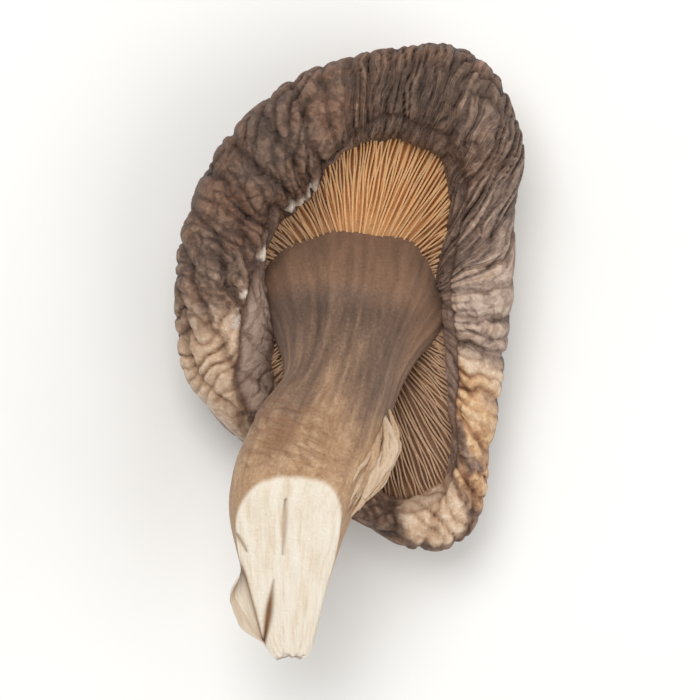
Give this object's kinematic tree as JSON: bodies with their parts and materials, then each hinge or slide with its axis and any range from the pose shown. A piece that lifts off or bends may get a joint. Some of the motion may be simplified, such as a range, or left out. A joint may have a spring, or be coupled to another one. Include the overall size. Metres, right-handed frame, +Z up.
{
  "type": "dried shiitake mushroom",
  "caption": "Dried shiitake mushroom lying on its crown: wrinkled brown cap with an inrolled margin, radial gills inside, and a curved stem with a slanted pale cut.",
  "frame": {"origin": "middle of the flat spot of the crown that the mushroom lies on", "axes": "+Z up, from the crown to the open gill side; +Y from the stem's cut end towards the cap's far margin; +X towards the cap's straight side"},
  "size_m": [0.0296, 0.0519, 0.0202],
  "materials": {
    "cap_skin": "dry, deeply wrinkled, matte",
    "gills": "dry, papery, matte",
    "stem_flesh": "dry, fibrous, pale where cut"
  },
  "bodies": {
    "root": {"shiitake": "cap_skin"}
  },
  "joints": []
}
